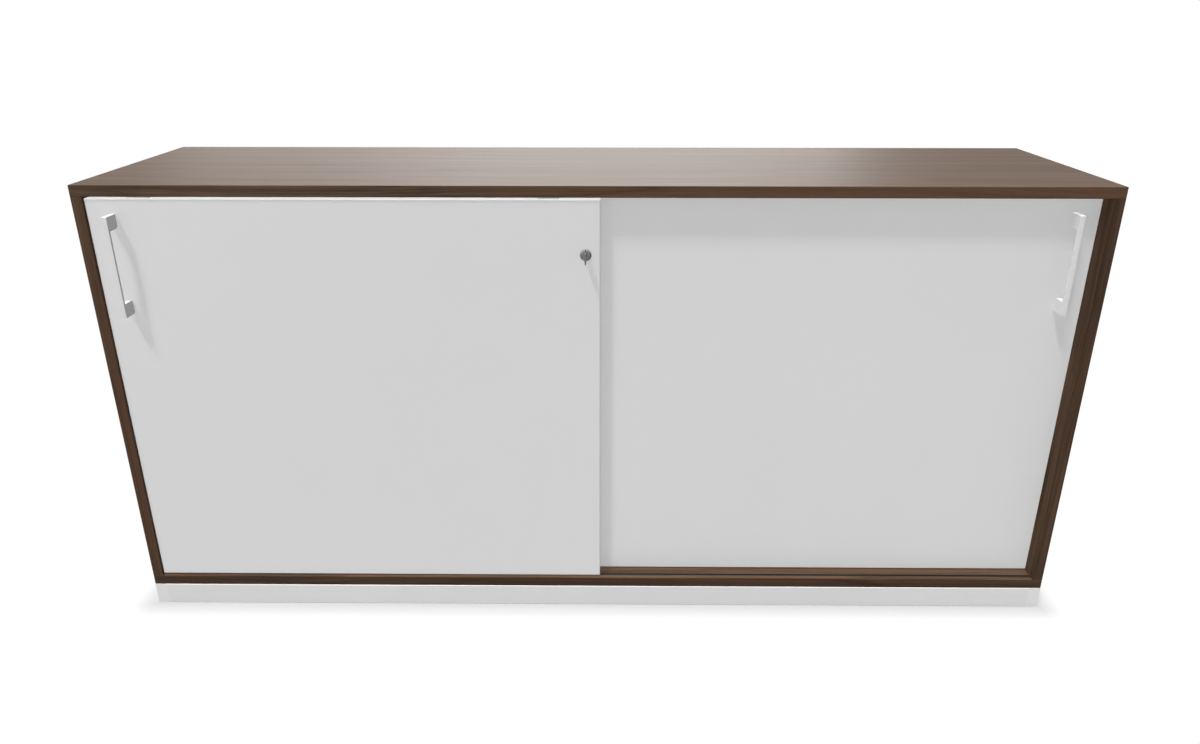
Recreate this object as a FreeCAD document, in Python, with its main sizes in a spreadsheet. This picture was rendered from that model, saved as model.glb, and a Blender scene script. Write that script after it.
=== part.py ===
import FreeCAD, Part
import math
import os
import re

import Sketcher

# Office cabinet with two sliding doors that overlap in the middle.
# X runs to the right, Y from the front to the back and Z up, in millimetres.
# The origin is on the floor, at the middle of the whole cabinet with its front handle.

# Driving dimensions, one alias each in the sheet.
SIZES = {
    # carcass boards
    "cabinet_width": 1600,
    "cabinet_depth": 400,
    "carcass_height": 720,
    "board": 18,
    "board_edge_radius": 1,
    "back_thickness": 8,
    "back_inset": 12,
    "back_groove_depth": 7,
    "back_play": 0.2,
    "partition_setback": 8.5,
    # shelves and their supports
    "shelf_setback": 10,
    "shelf_back_gap": 3,
    "shelf_play": 1,
    "support_diameter": 5,
    "support_depth": 8.4,
    "support_reach": 8,
    "support_play": 0.1,
    "support_inset": 37,
    "support_hole_depth": 10,
    # loose splines between boards
    "spline_thickness": 4,
    "spline_width": 16,
    "spline_inset": 30,
    "spline_play": 0.1,
    # running tracks
    "track_width": 7,
    "track_wall": 1,
    "track_web": 1.5,
    "bottom_channel_depth": 3,
    "top_channel_depth": 10,
    "track_play": 0.1,
    "track_end_play": 0.5,
    # doors
    "door_thickness": 16,
    "door_setback": 3.5,
    "door_spacing": 10,
    "door_top_gap": 3.5,
    "door_bottom_gap": 3.5,
    "door_side_gap": 0.5,
    "door_overlap": 13,
    "door_edge_radius": 1,
    # roller carriers in the bottom edge of each door
    "carrier_length": 50,
    "carrier_width": 11,
    "carrier_height": 22,
    "carrier_inset": 80,
    "carrier_play": 0.1,
    "wheel_diameter": 22,
    "wheel_width": 4,
    "wheel_play": 0.5,
    "running_clearance": 0.2,
    "axle_diameter": 3,
    "axle_length": 10.4,
    "axle_play": 0.2,
    # guides in the top edge of each door
    "guide_length": 40,
    "guide_width": 11,
    "guide_depth": 20,
    "guide_inset": 80,
    "guide_play": 0.1,
    "tongue_length": 34,
    "tongue_engagement": 6,
    "tongue_clearance": 0.4,
    "tongue_root": 8,
    "tongue_travel": 9,
    "tongue_play": 0.1,
    # handles
    "handle_length": 160,
    "handle_width": 8,
    "handle_projection": 27,
    "handle_bar": 4,
    "handle_post": 22,
    "handle_post_radius": 5,
    "handle_edge_radius": 0.4,
    "handle_side_inset": 39.5,
    "handle_top_inset": 23,
    # cylinder lock in the left door
    "lock_side_inset": 22.6,
    "lock_top_inset": 86.2,
    "rosette_diameter": 18.5,
    "rosette_height": 3,
    "rosette_bevel": 1.4,
    "barrel_diameter": 16,
    "barrel_overhang": 4,
    "barrel_play": 0.2,
    "plug_diameter": 12,
    "plug_play": 0.2,
    "keyway_width": 2.6,
    "keyway_height": 8.2,
    "keyway_depth": 17,
    "lock_nut_size": 19,
    "lock_nut_thickness": 2.5,
    "tang_size": 7,
    "tang_length": 2.1,
    "hook_hub_diameter": 17,
    "hook_thickness": 2,
    "hook_reach": 21.5,
    "hook_width": 12,
    "hook_tip": 5,
    "hook_slot": 5.5,
    "hook_play": 0.15,
    "hook_screw_diameter": 3,
    "hook_screw_length": 7,
    "hook_screw_head_diameter": 9.5,
    "hook_screw_head": 1.8,
    "hook_screw_play": 0.2,
    # keeper pin on the right door
    "keeper_diameter": 4,
    "keeper_length": 6,
    "keeper_collar_diameter": 7,
    "keeper_collar": 1.2,
    "keeper_shank_diameter": 3.5,
    "keeper_shank_length": 10,
    "keeper_play": 0.2,
    # key
    "key_reach": 25,
    "key_thickness": 2.2,
    "key_blade_height": 7.8,
    "key_blade_length": 15,
    "key_neck_length": 3,
    "key_bow_height": 20,
    "key_bow_radius": 3,
    "key_shoulder_radius": 3,
    "key_ring_hole": 5,
    "key_ring_inset": 5.5,
    # steel plinth
    "plinth_height": 40,
    "tube_width": 20,
    "tube_wall": 1.5,
    "tube_radius": 1.5,
    "cap_thickness": 2,
    "cap_plug_depth": 12,
    "cap_play": 0.2,
}

# Lines and levels that several pieces share, worked out from the driving dimensions.
FORMULAS = {
    "half_width": "cabinet_width / 2",
    "inner_half": "half_width - board",
    "inner_height": "carcass_height - 2 * board",
    "handle_reach": "handle_projection - door_setback",
    "front": "-(cabinet_depth - handle_reach) / 2",
    "rear": "front + cabinet_depth",
    "floor_level": "plinth_height + board",
    "ceiling_level": "plinth_height + carcass_height - board",
    "back_face": "rear - back_inset - back_thickness",
    "left_door_face": "front + door_setback",
    "right_door_face": "left_door_face + door_thickness + door_spacing",
    "door_width": "inner_half + door_overlap / 2 - door_side_gap",
    "door_height": "inner_height - door_top_gap - door_bottom_gap",
    "door_foot": "floor_level + door_bottom_gap",
    "door_head": "ceiling_level - door_top_gap",
    "left_door_edge": "-inner_half + door_side_gap",
    "right_door_edge": "-door_overlap / 2",
    "front_track_line": "left_door_face + door_thickness / 2",
    "rear_track_line": "right_door_face + door_thickness / 2",
    "bottom_track_height": "bottom_channel_depth + track_web",
    "top_track_height": "top_channel_depth + track_web",
    "track_length": "2 * (inner_half - track_end_play)",
    "wheel_level": "floor_level - bottom_channel_depth + running_clearance + wheel_diameter / 2",
    "wheel_rise": "wheel_level - door_foot",
    "tongue_thickness": "track_width - 2 * track_wall - 2 * tongue_clearance",
    "partition_face": "right_door_face + door_thickness + partition_setback",
    "partition_depth": "back_face - partition_face",
    "shelf_face": "partition_face + shelf_setback",
    "shelf_depth": "back_face - shelf_back_gap - shelf_face",
    "shelf_width": "inner_half - board / 2 - 2 * shelf_play",
    "shelf_level": "floor_level + (inner_height - board) / 2",
    "support_level": "shelf_level - support_diameter / 2",
    "support_front": "shelf_face + support_inset",
    "support_rear": "shelf_face + shelf_depth - support_inset",
    "side_line": "half_width - board / 2",
    "spline_front": "partition_face + spline_inset",
    "spline_length": "partition_depth - 2 * spline_inset",
    "left_handle_line": "left_door_edge + handle_side_inset",
    "right_handle_line": "right_door_edge + door_width - handle_side_inset",
    "handle_foot": "door_head - handle_top_inset - handle_length",
    "lock_line": "left_door_edge + door_width - lock_side_inset",
    "lock_level": "door_head - lock_top_inset",
    "barrel_length": "door_thickness + barrel_overhang",
    "hook_start": "barrel_length + hook_play",
    "hook_end": "hook_start + hook_thickness",
    "keeper_line": "lock_line + hook_reach * cos(45)",
    "keeper_level": "lock_level + hook_reach * sin(45)",
    "rail_length": "cabinet_width - 2 * tube_width",
}

HOOK_REST_ANGLE = 225
SKETCH_START_RADIUS = 10

doc = FreeCAD.newDocument("SlidingDoorCabinet")
nodes = []


# Sheet, expressions and placements

def fill_sheet():
    sheet = doc.addObject("Spreadsheet::Sheet", "Sizes")
    for row, (alias, size) in enumerate(SIZES.items(), start=1):
        sheet.set(f"A{row}", alias)
        sheet.set(f"B{row}", str(size))
        sheet.setAlias(f"B{row}", alias)
    doc.recompute()


def expand(text):
    """Write a formula out in cells of the sheet."""

    def swap(match):
        word = match.group(0)
        if word in FORMULAS:
            return f"({expand(FORMULAS[word])})"
        if word in SIZES:
            return f"Sizes.{word}"
        return word

    return re.sub(r"[a-z][a-z_]*", swap, text)


def bind(item, path, text):
    item.setExpression(path, expand(text))


def move(item, x, y, z):
    for letter, text in zip("xyz", (x, y, z)):
        bind(item, f"Placement.Base.{letter}", text)


def turned(axis, angle):
    return FreeCAD.Rotation(FreeCAD.Vector(*axis), angle)


def keep(item):
    """Count a finished piece as a node of the cabinet."""
    nodes.append(item)
    return item


# Sketches, each fully constrained by the sheet

def new_body(label):
    return doc.addObject("PartDesign::Body", label)


def new_sketch(body, role, offset=None):
    sketch = body.newObject("Sketcher::SketchObject", f"{body.Name}_sketch")
    support = [plane for plane in body.Origin.OriginFeatures if plane.Role == role]
    sketch.AttachmentSupport = [(support[0], "")]
    sketch.MapMode = "FlatFace"
    if offset:
        bind(sketch, "AttachmentOffset.Base.z", offset)
    return sketch


def pin_point(sketch, geometry, point, start, x, y):
    """Tie one point of a sketch to formulas for its two coordinates."""
    for kind, now, text in (("DistanceX", start.x, x), ("DistanceY", start.y, y)):
        constraint = Sketcher.Constraint(kind, -1, 1, geometry, point, now)
        number = sketch.addConstraint(constraint)
        bind(sketch, f"Constraints[{number}]", text)


def draw_outline(sketch, corners):
    """A closed outline of straight lines through corners given as formulas."""
    first = sketch.GeometryCount
    count = len(corners)
    angles = [2 * math.pi * step / count for step in range(count)]
    starts = [
        FreeCAD.Vector(SKETCH_START_RADIUS * math.cos(a), SKETCH_START_RADIUS * math.sin(a), 0)
        for a in angles
    ]
    for step in range(count):
        sketch.addGeometry(Part.LineSegment(starts[step], starts[(step + 1) % count]))
    for step in range(count):
        after = first + (step + 1) % count
        sketch.addConstraint(Sketcher.Constraint("Coincident", first + step, 2, after, 1))
    for step, (x, y) in enumerate(corners):
        pin_point(sketch, first + step, 1, starts[step], x, y)


def draw_rectangle(sketch, left, low, right, high):
    draw_outline(sketch, [(left, low), (right, low), (right, high), (left, high)])


def draw_circle(sketch, x, y, diameter):
    centre = FreeCAD.Vector(SKETCH_START_RADIUS, SKETCH_START_RADIUS, 0)
    circle = Part.Circle(centre, FreeCAD.Vector(0, 0, 1), SKETCH_START_RADIUS / 2)
    number = sketch.addGeometry(circle)
    pin_point(sketch, number, 3, centre, x, y)
    size = sketch.addConstraint(Sketcher.Constraint("Diameter", number, SKETCH_START_RADIUS))
    bind(sketch, f"Constraints[{size}]", diameter)


def draw_centred(sketch, x, y, length, width):
    """A rectangle about a point, with its length along the sketch's first axis."""
    half_length = f"({length}) / 2"
    half_width = f"({width}) / 2"
    draw_rectangle(
        sketch,
        f"{x} - {half_length}",
        f"{y} - {half_width}",
        f"{x} + {half_length}",
        f"{y} + {half_width}",
    )


def draw_hexagon(sketch, size):
    """A hexagon about the sketch's origin, given its width across flats."""
    reach = f"({size}) / 2 / cos(30)"
    corners = [(f"{reach} * cos({60 * k})", f"{reach} * sin({60 * k})") for k in range(6)]
    draw_outline(sketch, corners)


# Features

def pad(body, sketch, length, backwards=False, centred=False):
    feature = body.newObject("PartDesign::Pad", f"{body.Name}_pad")
    feature.Profile = sketch
    feature.Reversed = backwards
    feature.SideType = "Symmetric" if centred else "One side"
    bind(feature, "Length", length)
    doc.recompute()
    return feature


def cut(body, sketch, depth, backwards=False):
    """A pocket that runs against the sketch's normal, or along it when backwards."""
    before = body.Shape.Volume
    feature = body.newObject("PartDesign::Pocket", f"{body.Name}_pocket")
    feature.Profile = sketch
    feature.Reversed = backwards
    bind(feature, "Length", depth)
    doc.recompute()
    if not body.Shape.Volume < before:
        raise RuntimeError(f"{feature.Name} cuts nothing from {body.Name}")
    return feature


def spin(body, sketch, axis):
    feature = body.newObject("PartDesign::Revolution", f"{body.Name}_turned")
    feature.Profile = sketch
    feature.ReferenceAxis = (sketch, [axis])
    feature.Angle = 360
    doc.recompute()


def round_edges(body, radius, wanted):
    base = body.Tip
    names = [f"Edge{k}" for k, edge in enumerate(base.Shape.Edges, start=1) if wanted(edge)]
    feature = body.newObject("PartDesign::Fillet", f"{body.Name}_rounding")
    feature.Base = (base, names)
    bind(feature, "Radius", radius)
    doc.recompute()


def near(value, target):
    return abs(value - target) < 1e-4


def lies_at(edge, **place):
    """True if the whole edge lies at the given x, y or z in its body."""
    box = edge.BoundBox
    spans = {"x": (box.XMin, box.XMax), "y": (box.YMin, box.YMax), "z": (box.ZMin, box.ZMax)}
    return all(near(end, at) for letter, at in place.items() for end in spans[letter])


def block(label, width, depth, height):
    """A rectangular body from its near left bottom corner."""
    body = new_body(label)
    sketch = new_sketch(body, "XY_Plane")
    draw_rectangle(sketch, "0", "0", width, depth)
    pad(body, sketch, height)
    return body


def group(label, single, spots):
    """Separate copies of one piece, which share a node."""
    copies = []
    for number, (x, y, z, rotation) in enumerate(spots, start=1):
        copy = doc.addObject("App::Link", f"{label}_{number}")
        copy.LinkedObject = single
        copy.Placement = FreeCAD.Placement(FreeCAD.Vector(), rotation)
        move(copy, x, y, z)
        copies.append(copy)
    compound = doc.addObject("Part::Compound", label)
    compound.Links = copies
    return keep(compound)


STRAIGHT = turned((0, 0, 1), 0)
TURNED_ROUND = turned((0, 0, 1), 180)


# Carcass boards

def back_groove(sketch, left, right):
    """The groove that holds the back panel, seen from above."""
    low = "back_face - front - back_play / 2"
    high = "back_face - front + back_thickness + back_play / 2"
    draw_rectangle(sketch, left, low, right, high)


def bore_row(body, plane, offset, centres, diameter, depth, backwards):
    sketch = new_sketch(body, plane, offset)
    for x, y in centres:
        draw_circle(sketch, x, y, diameter)
    return cut(body, sketch, depth, backwards)


def spline_grooves(body, level, lines, start, upward):
    """Grooves along Y for the loose splines, in one face or end of a board."""
    sketch = new_sketch(body, "XY_Plane", level)
    middle = f"{start} + spline_length / 2"
    for line in lines:
        draw_centred(sketch, line, middle, "spline_thickness + 2 * spline_play", "spline_length + 2 * spline_play")
    cut(body, sketch, "spline_width / 2 + spline_play", upward)


def upright_joints(body, face, support_depth, origin):
    """Spline grooves in both ends of an upright, and the holes for its shelf supports."""
    for level, upward in ((None, True), ("inner_height", False)):
        spline_grooves(body, level, ["board / 2"], f"spline_front - {origin}", upward)
    height = "support_level - floor_level"
    centres = [(f"support_front - {origin}", height), (f"support_rear - {origin}", height)]
    bore_row(body, "YZ_Plane", face, centres, "support_diameter + support_play", support_depth, False)


def make_side_panels():
    left = block("left_side_panel", "board", "cabinet_depth", "inner_height")
    thickness = SIZES["board"]
    round_edges(
        left,
        "board_edge_radius",
        lambda edge: lies_at(edge, y=0, x=0) or lies_at(edge, y=0, x=thickness),
    )
    groove = new_sketch(left, "XY_Plane")
    back_groove(groove, "board - back_groove_depth", "board + back_play")
    cut(left, groove, "inner_height", backwards=True)
    upright_joints(left, "board", "support_hole_depth", "front")
    move(left, "-half_width", "front", "floor_level")
    keep(left)
    right = doc.addObject("Part::Mirroring", "right_side_panel")
    right.Source = left
    right.Normal = (1, 0, 0)
    keep(right)


def make_partition():
    body = block("centre_partition", "board", "partition_depth", "inner_height")
    thickness = SIZES["board"]
    round_edges(
        body,
        "board_edge_radius",
        lambda edge: lies_at(edge, y=0, x=0) or lies_at(edge, y=0, x=thickness),
    )
    upright_joints(body, "board", "board", "partition_face")
    move(body, "-board / 2", "partition_face", "floor_level")
    keep(body)


def make_deck(label, level, face, upward, track_depth):
    """Top or bottom panel, worked from its inner face."""
    body = block(label, "cabinet_width", "cabinet_depth", "board")
    width = SIZES["cabinet_width"]
    outer = SIZES["board"] if upward else 0
    round_edges(
        body,
        "board_edge_radius",
        lambda edge: lies_at(edge, y=0)
        or lies_at(edge, x=0, z=outer)
        or lies_at(edge, x=width, z=outer),
    )
    tracks = new_sketch(body, "XY_Plane", face)
    for line in ("front_track_line", "rear_track_line"):
        low = f"{line} - front - track_width / 2 - track_play"
        high = f"{line} - front + track_width / 2 + track_play"
        draw_rectangle(tracks, "board", low, "cabinet_width - board", high)
    cut(body, tracks, track_depth, upward)
    groove = new_sketch(body, "XY_Plane", face)
    back_groove(groove, "board - back_groove_depth", "cabinet_width - board + back_groove_depth")
    cut(body, groove, "back_groove_depth", upward)
    lines = ["board / 2", "half_width", "cabinet_width - board / 2"]
    spline_grooves(body, face, lines, "spline_front - front", upward)
    move(body, "-half_width", "front", level)
    keep(body)


def make_decks():
    make_deck("top_panel", "ceiling_level", None, True, "top_track_height")
    make_deck("bottom_panel", "plinth_height", "board", False, "bottom_track_height")


def make_back_panel():
    lap = "(back_groove_depth - back_play)"
    body = block(
        "back_panel",
        f"2 * (inner_half + {lap})",
        "back_thickness",
        f"inner_height + 2 * {lap}",
    )
    move(body, f"-inner_half - {lap}", "back_face", f"floor_level - {lap}")
    keep(body)


def make_shelves():
    depth = SIZES["board"]
    for label, left_end in (
        ("left_shelf", "-inner_half + shelf_play"),
        ("right_shelf", "board / 2 + shelf_play"),
    ):
        body = block(label, "shelf_width", "shelf_depth", "board")
        round_edges(
            body,
            "board_edge_radius",
            lambda edge: lies_at(edge, y=0, z=0) or lies_at(edge, y=0, z=depth),
        )
        move(body, left_end, "shelf_face", "shelf_level")
        keep(body)


def make_shelf_supports():
    """Round pins, half in the board and half under the shelf."""
    single = new_body("single_support")
    section = new_sketch(single, "YZ_Plane", "-support_depth")
    draw_circle(section, "0", "0", "support_diameter")
    pad(single, section, "support_depth + support_reach")
    spots = []
    for y in ("support_front", "support_rear"):
        spots += [
            ("-inner_half", y, "support_level", STRAIGHT),
            ("-board / 2", y, "support_level", TURNED_ROUND),
            ("board / 2", y, "support_level", STRAIGHT),
            ("inner_half", y, "support_level", TURNED_ROUND),
        ]
    group("shelf_supports", single, spots)


def make_splines():
    """Loose splines in the joints of the sides and the partition with top and bottom."""
    single = block("single_spline", "spline_thickness", "spline_length", "spline_width")
    spots = []
    for line in ("-side_line", "0", "side_line"):
        for level in ("floor_level", "ceiling_level"):
            x = f"{line} - spline_thickness / 2"
            spots.append((x, "spline_front", f"{level} - spline_width / 2", STRAIGHT))
    group("board_splines", single, spots)


# Tracks let into the top and bottom panels

def make_track(label, line, level, height, open_upward):
    body = new_body(label)
    sketch = new_sketch(body, "YZ_Plane")
    mouth, root, web = (height, "0", "track_web") if open_upward else ("0", height, f"{height} - track_web")
    draw_outline(
        sketch,
        [
            ("0", root),
            ("track_width", root),
            ("track_width", mouth),
            ("track_width - track_wall", mouth),
            ("track_width - track_wall", web),
            ("track_wall", web),
            ("track_wall", mouth),
            ("0", mouth),
        ],
    )
    pad(body, sketch, "track_length")
    move(body, "-track_length / 2", f"{line} - track_width / 2", level)
    keep(body)


def make_tracks():
    low = "floor_level - bottom_track_height"
    for name, line in (("front", "front_track_line"), ("rear", "rear_track_line")):
        make_track(f"{name}_bottom_track", line, low, "bottom_track_height", True)
        make_track(f"{name}_top_track", line, "ceiling_level", "top_track_height", False)


# Doors with their running gear

def make_door_panel(label, edge, face):
    body = block(label, "door_width", "door_thickness", "door_height")
    round_edges(body, "door_edge_radius", lambda line: lies_at(line, y=0))
    middle = "door_thickness / 2"
    carriers = new_sketch(body, "XY_Plane")
    for x in ("carrier_inset", "door_width - carrier_inset"):
        draw_centred(carriers, x, middle, "carrier_length + 2 * carrier_play", "carrier_width + 2 * carrier_play")
    cut(body, carriers, "carrier_height + carrier_play", backwards=True)
    guides = new_sketch(body, "XY_Plane", "door_height")
    for x in ("guide_inset", "door_width - guide_inset"):
        draw_centred(guides, x, middle, "guide_length + 2 * guide_play", "guide_width + 2 * guide_play")
    cut(body, guides, "guide_depth + guide_play")
    move(body, edge, face, "door_foot")
    return keep(body)


def make_carrier_pieces():
    """Plastic carrier with a well for the wheel, and the steel axle that clips in across it."""
    carrier = new_body("single_carrier")
    outline = new_sketch(carrier, "XY_Plane")
    draw_centred(outline, "0", "0", "carrier_length", "carrier_width")
    pad(carrier, outline, "carrier_height")
    well = new_sketch(carrier, "XY_Plane")
    draw_centred(well, "0", "0", "wheel_diameter + 2 * wheel_play", "wheel_width + 2 * wheel_play")
    cut(carrier, well, "wheel_rise + wheel_diameter / 2 + wheel_play", backwards=True)
    seat = new_sketch(carrier, "XZ_Plane", "carrier_width / 2")
    half = "(axle_diameter + axle_play) / 2"
    draw_rectangle(seat, f"-{half}", "0", half, f"wheel_rise + {half}")
    cut(carrier, seat, "carrier_width")
    axle = new_body("single_axle")
    section = new_sketch(axle, "XZ_Plane")
    draw_circle(section, "0", "0", "axle_diameter")
    pad(axle, section, "axle_length", centred=True)
    return carrier, axle


def make_wheel(label, x, y):
    body = new_body(label)
    section = new_sketch(body, "XZ_Plane")
    draw_circle(section, "0", "0", "wheel_diameter")
    draw_circle(section, "0", "0", "axle_diameter + axle_play")
    pad(body, section, "wheel_width", centred=True)
    move(body, x, y, "wheel_level")
    keep(body)


def make_guide_housing():
    """Housing in the door's top edge, with a slot that takes the tongue when it is pressed down."""
    housing = new_body("single_guide_housing")
    outline = new_sketch(housing, "XY_Plane")
    draw_centred(outline, "0", "0", "guide_length", "guide_width")
    pad(housing, outline, "guide_depth", backwards=True)
    slot = new_sketch(housing, "XY_Plane")
    draw_centred(slot, "0", "0", "tongue_length + 2 * tongue_play", "tongue_thickness + 2 * tongue_play")
    cut(housing, slot, "tongue_root + tongue_travel + tongue_play")
    return housing


def make_guide_tongue(label, x, y):
    """Tongue that stands up into the top track."""
    body = new_body(label)
    outline = new_sketch(body, "XY_Plane", "-tongue_root")
    draw_centred(outline, "0", "0", "tongue_length", "tongue_thickness")
    pad(body, outline, "tongue_root + door_top_gap + tongue_engagement")
    move(body, x, y, "door_head")
    keep(body)


def make_handle(label, line, face):
    """Bridge handle: two posts and a flat bar, with round inner corners at the door."""
    body = new_body(label)
    sketch = new_sketch(body, "YZ_Plane")
    tip = "-handle_projection"
    bar_back = "handle_bar - handle_projection"
    draw_outline(
        sketch,
        [
            ("0", "0"),
            ("0", "handle_post"),
            (bar_back, "handle_post"),
            (bar_back, "handle_length - handle_post"),
            ("0", "handle_length - handle_post"),
            ("0", "handle_length"),
            (tip, "handle_length"),
            (tip, "0"),
        ],
    )
    pad(body, sketch, "handle_width", centred=True)
    post = SIZES["handle_post"]
    upper = SIZES["handle_length"] - post
    round_edges(
        body,
        "handle_post_radius",
        lambda edge: lies_at(edge, y=0, z=post) or lies_at(edge, y=0, z=upper),
    )
    face_line = -SIZES["handle_projection"]
    round_edges(body, "handle_edge_radius", lambda edge: lies_at(edge, y=face_line))
    move(body, line, face, "handle_foot")
    keep(body)


def make_doors():
    carrier, axle = make_carrier_pieces()
    housing = make_guide_housing()
    panels = {}
    for side, edge, face, handle_line in (
        ("left", "left_door_edge", "left_door_face", "left_handle_line"),
        ("right", "right_door_edge", "right_door_face", "right_handle_line"),
    ):
        panels[side] = make_door_panel(f"{side}_door_panel", edge, face)
        make_handle(f"{side}_handle", handle_line, face)
        middle = f"{face} + door_thickness / 2"
        lines = (f"{edge} + carrier_inset", f"{edge} + door_width - carrier_inset")
        group(f"{side}_roller_carriers", carrier, [(x, middle, "door_foot", STRAIGHT) for x in lines])
        group(f"{side}_roller_axles", axle, [(x, middle, "wheel_level", STRAIGHT) for x in lines])
        for number, x in enumerate(lines, start=1):
            make_wheel(f"{side}_door_wheel_{number}", x, middle)
        ends = (f"{edge} + guide_inset", f"{edge} + door_width - guide_inset")
        group(f"{side}_guide_housings", housing, [(x, middle, "door_head", STRAIGHT) for x in ends])
        for number, x in enumerate(ends, start=1):
            make_guide_tongue(f"{side}_guide_tongue_{number}", x, middle)
    lock_place = [("lock_line - left_door_edge", "lock_level - door_foot")]
    bore = "barrel_diameter + barrel_play"
    bore_row(panels["left"], "XZ_Plane", None, lock_place, bore, "door_thickness", False)
    keeper_place = [("keeper_line - right_door_edge", "keeper_level - door_foot")]
    bore = "keeper_shank_diameter + keeper_play"
    depth = "keeper_shank_length + keeper_play"
    bore_row(panels["right"], "XZ_Plane", None, keeper_place, bore, depth, False)


# Cylinder lock in the left door, its keeper on the right door, and the key

def at_lock(body):
    move(body, "lock_line", "left_door_face", "lock_level")
    return keep(body)


def make_lock_housing():
    body = new_body("lock_housing")
    sketch = new_sketch(body, "XY_Plane")
    bore = "(plug_diameter + plug_play) / 2"
    barrel = "barrel_diameter / 2"
    rosette = "rosette_diameter / 2"
    draw_outline(
        sketch,
        [
            (bore, "-rosette_height"),
            (f"{rosette} - rosette_bevel", "-rosette_height"),
            (rosette, "rosette_bevel - rosette_height"),
            (rosette, "0"),
            (barrel, "0"),
            (barrel, "barrel_length"),
            (bore, "barrel_length"),
        ],
    )
    spin(body, sketch, "V_Axis")
    at_lock(body)


def make_lock_nut():
    body = new_body("lock_nut")
    sketch = new_sketch(body, "XZ_Plane", "-door_thickness")
    draw_hexagon(sketch, "lock_nut_size")
    draw_circle(sketch, "0", "0", "barrel_diameter + barrel_play")
    pad(body, sketch, "lock_nut_thickness", backwards=True)
    at_lock(body)


def make_lock_plug():
    """Plug with the keyway in its face and a square tang for the hook."""
    body = new_body("lock_plug")
    section = new_sketch(body, "XZ_Plane", "rosette_height")
    draw_circle(section, "0", "0", "plug_diameter")
    pad(body, section, "rosette_height + barrel_length", backwards=True)
    tang = new_sketch(body, "XZ_Plane", "-barrel_length")
    half = "tang_size / 2"
    draw_rectangle(tang, f"-{half}", f"-{half}", half, half)
    pad(body, tang, "tang_length", backwards=True)
    keyway = new_sketch(body, "XZ_Plane", "rosette_height")
    draw_rectangle(
        keyway,
        "-keyway_width / 2",
        "-keyway_height / 2",
        "keyway_width / 2",
        "keyway_height / 2",
    )
    cut(body, keyway, "keyway_depth")
    hole = "hook_screw_diameter + hook_screw_play"
    depth = "hook_screw_length + hook_screw_play"
    end = "-barrel_length - tang_length"
    bore_row(body, "XZ_Plane", end, [("0", "0")], hole, depth, True)
    at_lock(body)


def make_lock_hook():
    """Hook that swings from below the lock up onto the keeper pin, open on its leading side."""
    body = new_body("lock_hook")
    hub = new_sketch(body, "XZ_Plane")
    draw_circle(hub, "0", "0", "hook_hub_diameter")
    pad(body, hub, "hook_thickness", backwards=True)
    arm = new_sketch(body, "XZ_Plane")
    draw_rectangle(arm, "0", "-hook_width / 2", "hook_reach + hook_tip", "hook_width / 2")
    pad(body, arm, "hook_thickness", backwards=True)
    corner = SIZES["hook_reach"] + SIZES["hook_tip"]
    round_edges(
        body,
        "hook_tip / 2",
        lambda edge: near(edge.BoundBox.XMin, corner)
        and near(edge.BoundBox.ZMin, edge.BoundBox.ZMax),
    )
    mouth = new_sketch(body, "XZ_Plane")
    draw_rectangle(
        mouth,
        "hook_reach - hook_slot / 2",
        "-hook_width",
        "hook_reach + hook_slot / 2",
        "hook_slot / 2",
    )
    cut(body, mouth, "hook_thickness")
    square = new_sketch(body, "XZ_Plane")
    reach = "((tang_size / 2 + hook_play) / cos(45))"
    draw_outline(square, [(reach, "0"), ("0", reach), (f"-{reach}", "0"), ("0", f"-{reach}")])
    cut(body, square, "hook_thickness")
    body.Placement = FreeCAD.Placement(FreeCAD.Vector(), turned((0, 1, 0), -HOOK_REST_ANGLE))
    move(body, "lock_line", "left_door_face + hook_start", "lock_level")
    keep(body)


def make_lock_hook_screw():
    body = new_body("lock_hook_screw")
    sketch = new_sketch(body, "XY_Plane")
    shank = "hook_screw_diameter / 2"
    head = "hook_screw_head_diameter / 2"
    seat = "hook_end + hook_play"
    tip = "barrel_length + tang_length - hook_screw_length"
    draw_outline(
        sketch,
        [
            ("0", tip),
            (shank, tip),
            (shank, seat),
            (head, seat),
            (head, f"{seat} + hook_screw_head"),
            ("0", f"{seat} + hook_screw_head"),
        ],
    )
    spin(body, sketch, "V_Axis")
    at_lock(body)


def make_keeper_pin():
    body = new_body("lock_keeper_pin")
    sketch = new_sketch(body, "XY_Plane")
    pin = "keeper_diameter / 2"
    collar = "keeper_collar_diameter / 2"
    shank = "keeper_shank_diameter / 2"
    draw_outline(
        sketch,
        [
            ("0", "-keeper_length"),
            (pin, "-keeper_length"),
            (pin, "-keeper_collar"),
            (collar, "-keeper_collar"),
            (collar, "0"),
            (shank, "0"),
            (shank, "keeper_shank_length"),
            ("0", "keeper_shank_length"),
        ],
    )
    spin(body, sketch, "V_Axis")
    move(body, "keeper_line", "right_door_face", "keeper_level")
    keep(body)


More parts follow.
